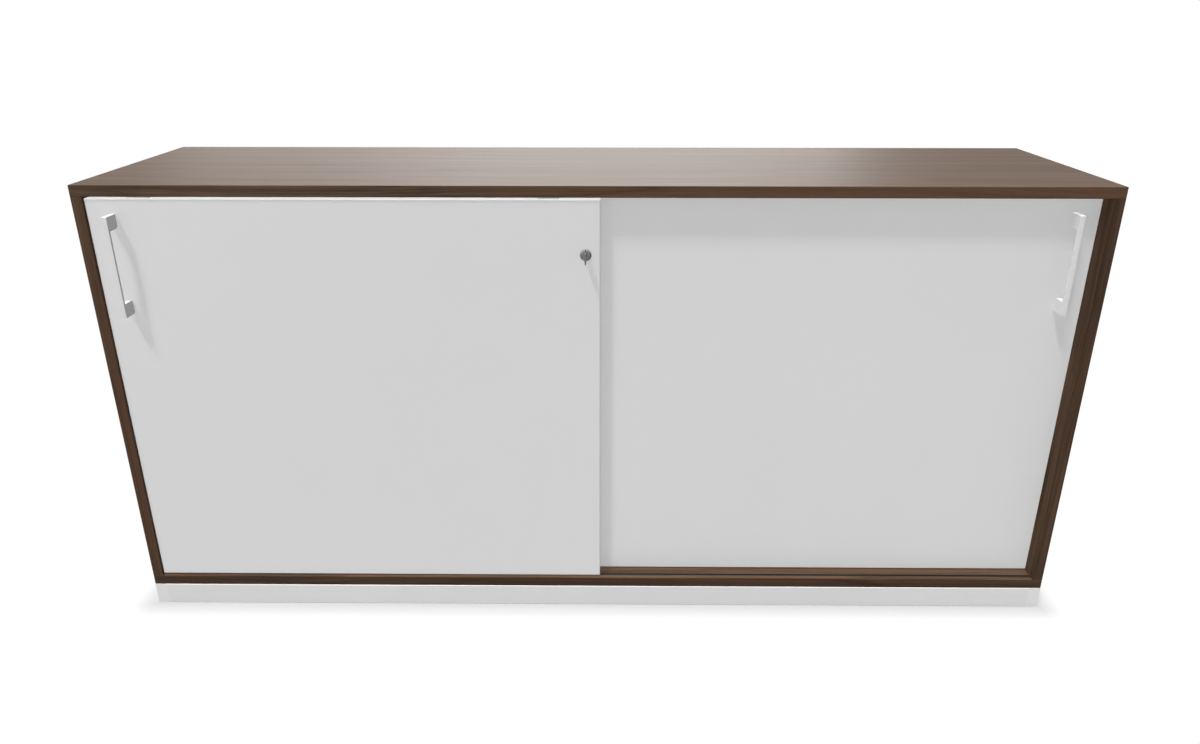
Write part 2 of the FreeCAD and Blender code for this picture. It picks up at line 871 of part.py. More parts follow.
def make_key():
    """Flat key: a blade in the keyway, and a rounded bow with a ring hole."""
    body = new_body("key")
    blade = new_sketch(body, "YZ_Plane")
    half = "key_blade_height / 2"
    shoulder = "-rosette_height - key_neck_length"
    tip = "key_blade_length - rosette_height"
    draw_outline(
        blade,
        [
            (shoulder, f"-{half}"),
            (f"{tip} - {half}", f"-{half}"),
            (tip, "0"),
            (f"{tip} - {half}", half),
            (shoulder, half),
        ],
    )
    pad(body, blade, "key_thickness", centred=True)
    bow = new_sketch(body, "YZ_Plane")
    draw_rectangle(bow, "-key_reach", "-key_bow_height / 2", shoulder, "key_bow_height / 2")
    pad(body, bow, "key_thickness", centred=True)
    top = SIZES["key_bow_height"] / 2
    outer_end = -SIZES["key_reach"]
    inner_end = -SIZES["rosette_height"] - SIZES["key_neck_length"]
    for radius, end in (("key_bow_radius", outer_end), ("key_shoulder_radius", inner_end)):
        round_edges(
            body,
            radius,
            lambda edge: lies_at(edge, y=end, z=top) or lies_at(edge, y=end, z=-top),
        )
    ring = [("key_ring_inset - key_reach", "0")]
    bore_row(body, "YZ_Plane", "key_thickness / 2", ring, "key_ring_hole", "key_thickness", False)
    at_lock(body)


def make_lock():
    make_lock_housing()
    make_lock_nut()
    make_lock_plug()
    make_lock_hook()
    make_lock_hook_screw()
    make_keeper_pin()
    make_key()


# Steel plinth

def draw_tube(sketch, left, right):
    draw_rectangle(sketch, left, "0", right, "plinth_height")
    inner_left = f"{left} + tube_wall"
    inner_right = f"{right} - tube_wall"
    draw_rectangle(sketch, inner_left, "tube_wall", inner_right, "plinth_height - tube_wall")


def make_cross_rail(label, y):
    body = new_body(label)
    section = new_sketch(body, "YZ_Plane")
    draw_tube(section, "0", "tube_width")
    pad(body, section, "rail_length")
    width = SIZES["tube_width"]
    height = SIZES["plinth_height"]
    corners = [(0, 0), (0, height), (width, 0), (width, height)]
    round_edges(
        body,
        "tube_radius",
        lambda edge: any(lies_at(edge, y=across, z=up) for across, up in corners),
    )
    move(body, "-rail_length / 2", y, "0")
    keep(body)


def make_depth_rail(label, x, y, length):
    body = new_body(label)
    section = new_sketch(body, "XZ_Plane")
    draw_tube(section, "0", "tube_width")
    pad(body, section, length, backwards=True)
    width = SIZES["tube_width"]
    height = SIZES["plinth_height"]
    corners = [(0, 0), (0, height), (width, 0), (width, height)]
    round_edges(
        body,
        "tube_radius",
        lambda edge: any(lies_at(edge, x=across, z=up) for across, up in corners),
    )
    move(body, x, y, "0")
    keep(body)


def make_rails():
    make_cross_rail("plinth_front_rail", "front")
    make_cross_rail("plinth_rear_rail", "rear - tube_width")
    side_length = "cabinet_depth - 2 * cap_thickness"
    side_start = "front + cap_thickness"
    make_depth_rail("plinth_left_rail", "-half_width", side_start, side_length)
    make_depth_rail("plinth_right_rail", "half_width - tube_width", side_start, side_length)
    middle_length = "cabinet_depth - 2 * tube_width"
    make_depth_rail("plinth_middle_rail", "-tube_width / 2", "front + tube_width", middle_length)


def make_end_caps():
    single = new_body("single_end_cap")
    plate = new_sketch(single, "XZ_Plane")
    draw_rectangle(plate, "-tube_width / 2", "0", "tube_width / 2", "plinth_height")
    pad(single, plate, "cap_thickness", backwards=True)
    half = SIZES["tube_width"] / 2
    height = SIZES["plinth_height"]
    corners = [(-half, 0), (-half, height), (half, 0), (half, height)]
    round_edges(
        single,
        "tube_radius",
        lambda edge: any(lies_at(edge, x=across, z=up) for across, up in corners),
    )
    plug = new_sketch(single, "XZ_Plane", "-cap_thickness")
    inset = "(tube_wall + cap_play)"
    draw_rectangle(
        plug,
        f"-tube_width / 2 + {inset}",
        inset,
        f"tube_width / 2 - {inset}",
        f"plinth_height - {inset}",
    )
    pad(single, plug, "cap_plug_depth", backwards=True)
    spots = []
    for x in ("-half_width + tube_width / 2", "half_width - tube_width / 2"):
        spots += [(x, "front", "0", STRAIGHT), (x, "rear", "0", TURNED_ROUND)]
    group("plinth_end_caps", single, spots)


# Build, test and write

def check_document():
    doc.recompute()
    for item in doc.Objects:
        if "Invalid" in item.State or "Error" in item.State:
            raise RuntimeError(f"{item.Name} failed: {item.State}")
        if item.TypeId == "Sketcher::SketchObject" and not item.FullyConstrained:
            raise RuntimeError(f"{item.Name} is not fully constrained")
    for item in nodes:
        if item.Shape.isNull() or not item.Shape.isValid() or not item.Shape.Solids:
            raise RuntimeError(f"{item.Label} has no valid solid")


def write_nodes():
    os.makedirs("parts", exist_ok=True)
    for item in nodes:
        item.Shape.exportStep(f"parts/{item.Label}.step")
    print(f"{len(nodes)} nodes written")


fill_sheet()
make_decks()
make_side_panels()
make_partition()
make_back_panel()
make_shelves()
make_shelf_supports()
make_splines()
make_tracks()
make_doors()
make_lock()
make_rails()
make_end_caps()
check_document()
write_nodes()
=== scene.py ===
# %% [markdown]
# # A sliding door cabinet
# A low office cabinet: a walnut-decor box, two white doors that slide past each other, slim bridge handles,
# a cylinder lock with its key, and a light steel plinth. The solid model gives every board and fitting its
# size and motion. This script dresses that model: it adds small fittings, builds the finishes, and lights it.

# %% Load the solid model
import math

import bmesh
import bpy
from mathutils import Matrix, Vector


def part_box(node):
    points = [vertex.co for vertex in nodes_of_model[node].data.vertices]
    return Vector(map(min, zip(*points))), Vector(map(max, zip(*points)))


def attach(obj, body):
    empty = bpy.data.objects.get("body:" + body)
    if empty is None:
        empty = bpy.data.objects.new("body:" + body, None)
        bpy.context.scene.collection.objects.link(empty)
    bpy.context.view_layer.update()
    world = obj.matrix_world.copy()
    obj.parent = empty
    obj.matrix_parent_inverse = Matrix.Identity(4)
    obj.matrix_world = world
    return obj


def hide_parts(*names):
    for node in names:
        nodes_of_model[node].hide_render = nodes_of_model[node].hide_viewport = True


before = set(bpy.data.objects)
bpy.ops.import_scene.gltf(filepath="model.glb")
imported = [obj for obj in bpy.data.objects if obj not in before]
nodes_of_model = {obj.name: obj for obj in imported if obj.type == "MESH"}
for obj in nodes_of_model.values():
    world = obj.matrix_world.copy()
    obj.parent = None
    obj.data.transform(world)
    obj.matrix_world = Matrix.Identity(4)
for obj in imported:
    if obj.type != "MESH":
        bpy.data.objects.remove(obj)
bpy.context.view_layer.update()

MM = 0.001
scene = bpy.context.scene

# %% [markdown]
# ## Camera
# The picture was taken from a little above the top, straight in front and with a wide lens, so the upright
# edges run together towards the floor. A camera is placed by its position, its angles and its focal length.
# These were found by fitting the edges of the box to the picture, which also showed a trace of roll and turn.

# %% Camera
CAMERA_PLACE = (0.01649, -1.54783, 1.01034)
CAMERA_DIP = 0.38608
CAMERA_ROLL = -0.0005
CAMERA_TURN = 0.00771
CAMERA_LENS = 26.968
SENSOR_WIDTH = 36

camera_data = bpy.data.cameras.new("camera")
camera_data.sensor_width = SENSOR_WIDTH
camera_data.lens = CAMERA_LENS
camera = bpy.data.objects.new("camera", camera_data)
camera.location = CAMERA_PLACE
camera.rotation_euler = (math.pi / 2 - CAMERA_DIP, CAMERA_ROLL, CAMERA_TURN)
scene.collection.objects.link(camera)
scene.camera = camera
scene.view_settings.view_transform = "Standard"
print("camera lens", camera_data.lens)

# %% [markdown]
# ## Helpers for node trees
# Materials and repeated pieces are both made of nodes. Two small helpers keep that readable: one adds a node
# and sets its fields, the other joins an output to an input. A shared effect becomes a node group with named
# sockets, so that each finish can use it with values of its own.

# %% Node helpers
def add(tree, kind, **fields):
    node = tree.nodes.new(kind)
    for name, value in fields.items():
        setattr(node, name, value)
    return node


def join(tree, source, target):
    tree.links.new(source, target)


def start_group(name, inputs, outputs):
    """A shader group with named sockets; returns the tree with its entry and exit."""
    tree = bpy.data.node_groups.new(name, "ShaderNodeTree")
    for label, kind, value in inputs:
        socket = tree.interface.new_socket(name=label, in_out="INPUT", socket_type=f"NodeSocket{kind}")
        if value is not None:
            socket.default_value = value
    for label, kind in outputs:
        tree.interface.new_socket(name=label, in_out="OUTPUT", socket_type=f"NodeSocket{kind}")
    return tree, tree.nodes.new("NodeGroupInput"), tree.nodes.new("NodeGroupOutput")


def stretched_noise(tree, vector, scale, detail, roughness=0.55):
    """Noise that is pulled out along the axes with a small scale."""
    mapping = add(tree, "ShaderNodeMapping")
    mapping.inputs["Scale"].default_value = scale
    join(tree, vector, mapping.inputs["Vector"])
    noise = add(tree, "ShaderNodeTexNoise")
    noise.inputs["Scale"].default_value = 1
    noise.inputs["Detail"].default_value = detail
    noise.inputs["Roughness"].default_value = roughness
    join(tree, mapping.outputs["Vector"], noise.inputs["Vector"])
    return noise


def remap(tree, value, low, high, new_low, new_high):
    node = add(tree, "ShaderNodeMapRange")
    for name, number in (("From Min", low), ("From Max", high), ("To Min", new_low), ("To Max", new_high)):
        node.inputs[name].default_value = number
    join(tree, value, node.inputs["Value"])
    return node.outputs["Result"]


def blend_colours(tree, factor, first, second, mode="MIX"):
    node = add(tree, "ShaderNodeMix", data_type="RGBA", blend_type=mode)
    for source, socket in ((factor, node.inputs[0]), (first, node.inputs[6]), (second, node.inputs[7])):
        if isinstance(source, bpy.types.NodeSocket):
            join(tree, source, socket)
        else:
            socket.default_value = source
    return node.outputs[2]


def arithmetic(tree, operation, first, second):
    node = add(tree, "ShaderNodeMath", operation=operation)
    for source, socket in ((first, node.inputs[0]), (second, node.inputs[1])):
        if isinstance(source, bpy.types.NodeSocket):
            join(tree, source, socket)
        else:
            socket.default_value = source
    return node.outputs[0]


print("helpers ready")

# %% [markdown]
# ## Walnut figure
# The box is faced with printed walnut: long fine streaks, broader bands where the growth rings were cut, and
# short dark pores. An image of wood could do this, but a figure made of stretched noise has no seams and no
# limit to its detail. The grain runs along the group's first axis, and each board turns it with a Mapping node.

# %% Walnut figure group
DRIFT_STRETCH = (1.4, 4, 4)
DRIFT_AMOUNT = (0, 0.05, 0.05)
STREAK_STRETCH = (0.8, 90, 90)
FIBRE_STRETCH = (2.5, 380, 380)
BROAD_STRETCH = (0.8, 9, 9)
VEIN_STRETCH = (1.0, 34, 34)
PORE_STRETCH = (28, 1300, 1300)
RING_CENTRE = (0, 0.31, 0.17)
RING_STRETCH = (0.06, 1, 1)
VEIN_WIDTH = 0.05
STREAK_WEIGHT = 0.40
RING_WEIGHT = 0.26
FIBRE_WEIGHT = 0.40
PORE_WEIGHT = 0.4
VEIN_WEIGHT = 0.42
RED_WEIGHT = 0.6
walnut_figure, walnut_in, walnut_out = start_group(
    "walnut figure",
    [
        ("Vector", "Vector", None),
        ("Dark", "Color", (0.020, 0.012, 0.007, 1)),
        ("Light", "Color", (0.104, 0.064, 0.041, 1)),
        ("Red", "Color", (0.084, 0.046, 0.027, 1)),
    ],
    [("Color", "Color"), ("Roughness", "Float"), ("Height", "Float")],
)
tree = walnut_figure
place = walnut_in.outputs["Vector"]
drift = stretched_noise(tree, place, DRIFT_STRETCH, 1.5)
centred = add(tree, "ShaderNodeVectorMath", operation="SUBTRACT")
centred.inputs[1].default_value = (0.5, 0.5, 0.5)
join(tree, drift.outputs["Color"], centred.inputs[0])
bent = add(tree, "ShaderNodeVectorMath", operation="MULTIPLY_ADD")
bent.inputs[1].default_value = DRIFT_AMOUNT
join(tree, centred.outputs[0], bent.inputs[0])
join(tree, place, bent.inputs[2])
flow = bent.outputs[0]

streaks = stretched_noise(tree, flow, STREAK_STRETCH, 6, 0.6).outputs["Fac"]
fibres = stretched_noise(tree, flow, FIBRE_STRETCH, 3, 0.6).outputs["Fac"]
broad = stretched_noise(tree, flow, BROAD_STRETCH, 2).outputs["Fac"]
ring_place = add(tree, "ShaderNodeMapping")
ring_place.inputs["Location"].default_value = RING_CENTRE
ring_place.inputs["Scale"].default_value = RING_STRETCH
join(tree, flow, ring_place.inputs["Vector"])
rings = add(tree, "ShaderNodeTexWave", wave_type="RINGS", rings_direction="X", wave_profile="SAW")
for name, value in (("Scale", 17), ("Distortion", 3.0), ("Detail", 2), ("Detail Scale", 2.0)):
    rings.inputs[name].default_value = value
join(tree, ring_place.outputs["Vector"], rings.inputs["Vector"])
vein_line = stretched_noise(tree, flow, VEIN_STRETCH, 1.5).outputs["Fac"]
off_line = arithmetic(tree, "ABSOLUTE", arithmetic(tree, "SUBTRACT", vein_line, 0.5), 0)
veins = remap(tree, off_line, 0, VEIN_WIDTH, 1, 0)
pores = stretched_noise(tree, place, PORE_STRETCH, 1).outputs["Fac"]
pore_mask = remap(tree, pores, 0.62, 0.75, 0, 1)

streak_tone = arithmetic(tree, "MULTIPLY", remap(tree, streaks, 0.32, 0.68, 0, 1), STREAK_WEIGHT)
ring_tone = arithmetic(tree, "MULTIPLY", rings.outputs["Fac"], RING_WEIGHT)
fibre_tone = arithmetic(tree, "MULTIPLY", remap(tree, fibres, 0.32, 0.68, 0, 1), FIBRE_WEIGHT)
tone = arithmetic(tree, "ADD", arithmetic(tree, "ADD", streak_tone, ring_tone), fibre_tone)
wood = blend_colours(tree, tone, walnut_in.outputs["Dark"], walnut_in.outputs["Light"])
red_mask = remap(tree, broad, 0.5, 0.68, 0, RED_WEIGHT)
wood = blend_colours(tree, red_mask, wood, walnut_in.outputs["Red"])
pore_tone = arithmetic(tree, "MULTIPLY", pore_mask, PORE_WEIGHT)
vein_tone = arithmetic(tree, "MULTIPLY", veins, VEIN_WEIGHT)
dark_lines = arithmetic(tree, "ADD", pore_tone, vein_tone)
wood = blend_colours(tree, dark_lines, wood, walnut_in.outputs["Dark"])
join(tree, wood, walnut_out.inputs["Color"])
join(tree, remap(tree, fibres, 0.3, 0.7, 0.49, 0.55), walnut_out.inputs["Roughness"])
relief = arithmetic(tree, "SUBTRACT", fibre_tone, pore_mask)
join(tree, relief, walnut_out.inputs["Height"])
print("walnut figure nodes", len(tree.nodes))

# %% [markdown]
# ## Edge band
# A faced board shows chipboard at its edges, so a thin strip is glued on and trimmed flush. It is a little lighter
# or darker than the face, and the joint shows as a fine line. The group compares each point's depth with the board's
# front: in front of the joint it uses the strip's tone, and right at the joint it draws the line. Behind it, the
# figure can be calmed towards a plain tone, because the print of a top is quieter than that of its strip.

# %% Edge band group
BAND_THICKNESS = 0.001
JOINT_WIDTH = 0.0002
JOINT_TONE = (0.45, 0.45, 0.45, 1)
edge_band, band_in, band_out = start_group(
    "edge band",
    [
        ("Vector", "Vector", None),
        ("Color", "Color", (0.1, 0.06, 0.04, 1)),
        ("Tone", "Color", (0.8, 0.8, 0.8, 1)),
        ("Plain", "Color", (0.060, 0.037, 0.024, 1)),
        ("Calm", "Float", 0.0),
        ("Front", "Float", 0.0),
    ],
    [("Color", "Color")],
)
tree = edge_band
depth_split = add(tree, "ShaderNodeSeparateXYZ")
join(tree, band_in.outputs["Vector"], depth_split.inputs[0])
depth = arithmetic(tree, "SUBTRACT", depth_split.outputs["Y"], band_in.outputs["Front"])
on_strip = arithmetic(tree, "LESS_THAN", depth, BAND_THICKNESS)
on_face = arithmetic(tree, "SUBTRACT", 1.0, on_strip)
calm_face = arithmetic(tree, "MULTIPLY", on_face, band_in.outputs["Calm"])
figure = blend_colours(tree, calm_face, band_in.outputs["Color"], band_in.outputs["Plain"])
strip = blend_colours(tree, on_strip, figure, band_in.outputs["Tone"], "MULTIPLY")
past_joint = arithmetic(tree, "GREATER_THAN", depth, BAND_THICKNESS - JOINT_WIDTH)
at_joint = arithmetic(tree, "MULTIPLY", on_strip, past_joint)
lined = blend_colours(tree, at_joint, strip, JOINT_TONE, "MULTIPLY")
join(tree, lined, band_out.inputs["Color"])
print("edge band nodes", len(tree.nodes))

# %% [markdown]
# ## Fine skin
# Lacquer, melamine, powder coat and moulded plastic share one trait: a very fine, even texture that breaks up
# the shine, and a barely visible change of tone from handling. One group makes both. Each finish chooses how
# coarse the texture is and how much the tone and the roughness may change.

# %% Fine skin group
TOUCH_STRETCH = (3, 3, 3)
fine_skin, skin_in, skin_out = start_group(
    "fine skin",
    [
        ("Vector", "Vector", None),
        ("Color", "Color", (0.7, 0.7, 0.7, 1)),
        ("Shade", "Color", (0.66, 0.66, 0.66, 1)),
        ("Grain", "Float", 900.0),
        ("Smooth", "Float", 0.4),
        ("Rough", "Float", 0.5),
    ],
    [("Color", "Color"), ("Roughness", "Float"), ("Height", "Float")],
)
tree = fine_skin
peel = add(tree, "ShaderNodeTexNoise")
peel.inputs["Detail"].default_value = 2
join(tree, skin_in.outputs["Vector"], peel.inputs["Vector"])
join(tree, skin_in.outputs["Grain"], peel.inputs["Scale"])
touch = stretched_noise(tree, skin_in.outputs["Vector"], TOUCH_STRETCH, 4).outputs["Fac"]
tone = remap(tree, touch, 0.35, 0.7, 0, 1)
handled = blend_colours(tree, tone, skin_in.outputs["Color"], skin_in.outputs["Shade"])
join(tree, handled, skin_out.inputs["Color"])
spread = add(tree, "ShaderNodeMapRange")
join(tree, touch, spread.inputs["Value"])
spread.inputs["From Min"].default_value = 0.3
spread.inputs["From Max"].default_value = 0.7
join(tree, skin_in.outputs["Smooth"], spread.inputs["To Min"])
join(tree, skin_in.outputs["Rough"], spread.inputs["To Max"])
join(tree, spread.outputs["Result"], skin_out.inputs["Roughness"])
join(tree, peel.outputs["Fac"], skin_out.inputs["Height"])
print("fine skin nodes", len(tree.nodes))

# %% [markdown]
# ## Brushed metal
# The lock, the key and the pins are plated steel. Plating keeps the fine lines of the polishing belt, so the
# group stretches noise along one axis and lets it change the colour and the roughness a little.

# %% Brushed metal group
LINE_STRETCH = (5200, 5200, 300)
CLOUD_STRETCH = (160, 160, 160)
LINE_WEIGHT = 0.6
CLOUD_WEIGHT = 0.4
brushed_metal, brush_in, brush_out = start_group(
    "brushed metal",
    [
        ("Vector", "Vector", None),
        ("Color", "Color", (0.5, 0.5, 0.5, 1)),
        ("Shade", "Color", (0.4, 0.4, 0.4, 1)),
        ("Smooth", "Float", 0.25),
        ("Rough", "Float", 0.4),
    ],
    [("Color", "Color"), ("Roughness", "Float"), ("Height", "Float")],
)
tree = brushed_metal
lines = stretched_noise(tree, brush_in.outputs["Vector"], LINE_STRETCH, 3).outputs["Fac"]
cloud = stretched_noise(tree, brush_in.outputs["Vector"], CLOUD_STRETCH, 2).outputs["Fac"]
line_tone = arithmetic(tree, "MULTIPLY", lines, LINE_WEIGHT)
cloud_tone = arithmetic(tree, "MULTIPLY", cloud, CLOUD_WEIGHT)
mixed = arithmetic(tree, "ADD", line_tone, cloud_tone)
tone = remap(tree, mixed, 0.35, 0.65, 0, 1)
brushed = blend_colours(tree, tone, brush_in.outputs["Color"], brush_in.outputs["Shade"])
join(tree, brushed, brush_out.inputs["Color"])
spread = add(tree, "ShaderNodeMapRange")
join(tree, tone, spread.inputs["Value"])
join(tree, brush_in.outputs["Smooth"], spread.inputs["To Min"])
join(tree, brush_in.outputs["Rough"], spread.inputs["To Max"])
join(tree, spread.outputs["Result"], brush_out.inputs["Roughness"])
join(tree, lines, brush_out.inputs["Height"])
print("brushed metal nodes", len(tree.nodes))

# %% [markdown]
# ## Finishes
# Every finish is one Principled shader fed by one of the groups. What changes over the surface comes from the
# group. What is the same all over, such as how much a lacquer mirrors, is set on the shader itself.

# %% Finishes
def start_finish(name, group, turn=(0, 0, 0), **values):
    """A material with one group between Object coordinates and the shader."""
    material = bpy.data.materials.new(name)
    material.use_nodes = True
    tree = material.node_tree
    shader = tree.nodes["Principled BSDF"]
    spot = add(tree, "ShaderNodeTexCoord")
    mapping = add(tree, "ShaderNodeMapping")
    mapping.inputs["Rotation"].default_value = turn
    join(tree, spot.outputs["Object"], mapping.inputs["Vector"])
    effect = add(tree, "ShaderNodeGroup", node_tree=group)
    join(tree, mapping.outputs["Vector"], effect.inputs["Vector"])
    for label, value in values.items():
        effect.inputs[label].default_value = value
    join(tree, effect.outputs["Color"], shader.inputs["Base Color"])
    join(tree, effect.outputs["Roughness"], shader.inputs["Roughness"])
    return material, tree, shader, effect


def add_relief(tree, shader, height, strength, depth):
    bump = add(tree, "ShaderNodeBump")
    bump.inputs["Strength"].default_value = strength
    bump.inputs["Distance"].default_value = depth
    join(tree, height, bump.inputs["Height"])
    join(tree, bump.outputs["Normal"], shader.inputs["Normal"])


def grey(value):
    return (value, value, value, 1)


UPRIGHT = (0, math.pi / 2, 0)
WALNUT_MIRROR = 0.07
WALNUT_RELIEF = 0.12
METAL_RELIEF = 0.05
BOARD_RELIEF_DEPTH = 0.0002
METAL_RELIEF_DEPTH = 0.0001


def walnut_finish(name, turn, front, band_tone, calm=0.0, **tones):
    """Printed walnut with an edge band on the front; the band starts at the board's front face."""
    material, tree, shader, effect = start_finish(name, walnut_figure, turn, **tones)
    band = add(tree, "ShaderNodeGroup", node_tree=edge_band)
    spot = add(tree, "ShaderNodeTexCoord")
    join(tree, spot.outputs["Object"], band.inputs["Vector"])
    join(tree, effect.outputs["Color"], band.inputs["Color"])
    band.inputs["Front"].default_value = front
    band.inputs["Calm"].default_value = calm
    band.inputs["Tone"].default_value = grey(band_tone)
    join(tree, band.outputs["Color"], shader.inputs["Base Color"])
    shader.inputs["Specular IOR Level"].default_value = WALNUT_MIRROR
    add_relief(tree, shader, effect.outputs["Height"], WALNUT_RELIEF, BOARD_RELIEF_DEPTH)
    return material


def skin_finish(name, colour, shade, grain, smooth, rough, strength):
    material, tree, shader, effect = start_finish(
        name, fine_skin, Color=colour, Shade=shade, Grain=grain, Smooth=smooth, Rough=rough
    )
    add_relief(tree, shader, effect.outputs["Height"], strength, BOARD_RELIEF_DEPTH)
    return material


def metal_finish(name, colour, shade, smooth, rough, metallic, mirror=0.5):
    material, tree, shader, effect = start_finish(
        name, brushed_metal, Color=colour, Shade=shade, Smooth=smooth, Rough=rough
    )
    shader.inputs["Metallic"].default_value = metallic
    shader.inputs["Specular IOR Level"].default_value = mirror
    add_relief(tree, shader, effect.outputs["Height"], METAL_RELIEF, METAL_RELIEF_DEPTH)
    return material


INNER_TONES = {"Light": (0.138, 0.080, 0.049, 1), "Red": (0.112, 0.058, 0.033, 1)}
PLYWOOD_TONES = {
    "Dark": (0.36, 0.25, 0.15, 1),
    "Light": (0.60, 0.46, 0.30, 1),
    "Red": (0.55, 0.40, 0.25, 1),
}
box_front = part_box("top_panel")[0][1]
shelf_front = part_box("left_shelf")[0][1]
partition_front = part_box("centre_partition")[0][1]
walnut_top = walnut_finish("walnut top", (0, 0, 0), box_front, 1.3, calm=0.4)
walnut_bottom = walnut_finish("walnut bottom", (0, 0, 0), box_front, 0.68, **INNER_TONES)
walnut_shelf = walnut_finish("walnut shelf", (0, 0, 0), shelf_front, 0.85)
walnut_side = walnut_finish("walnut side", UPRIGHT, box_front, 0.79, **INNER_TONES)
walnut_partition = walnut_finish("walnut partition", UPRIGHT, partition_front, 0.9)
plywood = walnut_finish("plywood", (0, 0, math.pi / 2), box_front, 1.0, **PLYWOOD_TONES)
white_melamine = skin_finish("white melamine", grey(0.70), grey(0.69), 1100.0, 0.44, 0.5, 0.04)
white_coat = skin_finish("white powder coat", grey(0.70), grey(0.68), 1500.0, 0.38, 0.46, 0.08)
plinth_coat = skin_finish("plinth powder coat", grey(0.70), grey(0.68), 1300.0, 0.42, 0.5, 0.1)
cap_plastic = skin_finish("cap plastic", grey(0.735), grey(0.72), 1700.0, 0.4, 0.48, 0.06)
black_plastic = skin_finish("black plastic", grey(0.02), grey(0.027), 1500.0, 0.4, 0.52, 0.08)
grey_plastic = skin_finish("grey plastic", grey(0.24), grey(0.2), 1600.0, 0.38, 0.5, 0.08)
plain_steel = metal_finish("plain steel", grey(0.5), grey(0.4), 0.26, 0.38, 1.0)
key_steel = metal_finish("key steel", grey(0.18), grey(0.14), 0.34, 0.44, 1.0)
satin_nickel = metal_finish("satin nickel", grey(0.205), grey(0.175), 0.34, 0.46, 0.08, mirror=0.15)
print("finishes", len(bpy.data.materials))

# %% [markdown]
# ## Dress the solid model
# The model's own boards and fittings keep their shape and take a finish. On top, bottom and shelves the grain
# runs along the cabinet, and on the upright boards it runs up.

# %% Dress the solid model
FINISH_OF = {
    walnut_top: ("top_panel",),
    walnut_bottom: ("bottom_panel",),
    walnut_shelf: ("left_shelf", "right_shelf"),
    walnut_side: ("left_side_panel", "right_side_panel"),
    walnut_partition: ("centre_partition", "back_panel"),
    plywood: ("board_splines",),
    white_melamine: ("left_door_panel", "right_door_panel"),
    white_coat: ("left_handle", "right_handle"),
    plinth_coat: (
        "plinth_front_rail", "plinth_rear_rail", "plinth_left_rail", "plinth_right_rail", "plinth_middle_rail",
    ),
    cap_plastic: (
        "plinth_end_caps", "left_guide_housings", "left_guide_tongue_1", "left_guide_tongue_2",
        "right_guide_housings", "right_guide_tongue_1", "right_guide_tongue_2",
    ),
    black_plastic: ("front_bottom_track", "rear_bottom_track", "front_top_track", "rear_top_track"),
    plain_steel: (
        "shelf_supports", "left_roller_axles", "right_roller_axles", "lock_nut", "lock_hook", "lock_hook_screw",
        "lock_keeper_pin", "key",
    ),
    satin_nickel: ("lock_housing", "lock_plug"),
}
dressed = {name: finish for finish, names in FINISH_OF.items() for name in names}
for name, piece in nodes_of_model.items():
    piece.data.materials.clear()
    piece.data.materials.append(dressed.get(name, grey_plastic))
print("dressed", len(dressed), "of", len(nodes_of_model))

# %% [markdown]
# ## Turned pieces
# The lock's rosette and the screw heads are turned on a lathe. A turned shape is a stack of rings: each ring has
# a radius and a height, and neighbours are joined by faces. A ring may also be a hexagon, which gives a screw
# its socket.

# %% Turned pieces
SHARP_TURNED = math.radians(32)


def hexagon_radius(angle, across_flats):
    sector = math.pi / 3
    return across_flats / 2 / math.cos((angle % sector) - sector / 2)


def turned_mesh(name, rings, segments, closed):
    """A lathed mesh about its local Z; a closed profile returns to its first ring."""
    shape = bmesh.new()
    loops = []
    for radius, height, is_hexagon in rings:
        angles = [2 * math.pi * step / segments for step in range(segments)]
        radii = [hexagon_radius(angle, 2 * radius) if is_hexagon else radius for angle in angles]
        loops.append([shape.verts.new((r * math.cos(a), r * math.sin(a), height)) for r, a in zip(radii, angles)])
    pairs = list(zip(loops, loops[1:]))
    if closed:
        pairs.append((loops[-1], loops[0]))
    else:
        shape.faces.new(loops[0][::-1])
        shape.faces.new(loops[-1])
    for low, high in pairs:
        for step in range(segments):
            after = (step + 1) % segments
            shape.faces.new((low[step], low[after], high[after], high[step]))
    bmesh.ops.recalc_face_normals(shape, faces=shape.faces)
    mesh = bpy.data.meshes.new(name)
    shape.to_mesh(mesh)
    shape.free()
    mesh.shade_smooth()
    mesh.set_sharp_from_angle(angle=SHARP_TURNED)
    return mesh


def rounded_corner(radius, height, bend, start, steps):
    """Rings of a quarter round that ends at the given radius and height."""
    rings = []
    for step in range(steps + 1):
        angle = start + math.pi / 2 * step / steps
        rings.append((radius - bend + bend * math.cos(angle), height - bend + bend * math.sin(angle), False))
    return rings


def place_mesh(name, mesh, matrix, finish, body):
    """Put a finished mesh in the model's frame and let it move with one body."""
    mesh.transform(matrix)
    mesh.materials.clear()
    mesh.materials.append(finish)
    piece = bpy.data.objects.new(name, mesh)
    scene.collection.objects.link(piece)
    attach(piece, body)
    return piece


def corners_of(node):
    low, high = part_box(node)
    return Vector(low), Vector(high)


print("lathe ready")

# %% [markdown]
# ## Lock rosette
# The photograph shows a small round lock that is bright at its upper left and dark at its lower right, so its rim
# slopes. The solid has the same outline, with a plain bevel. The dressed one is turned with more rings: a sloping
# rim with a rounded edge, a shallow groove round the plug and the long barrel that goes through the door.

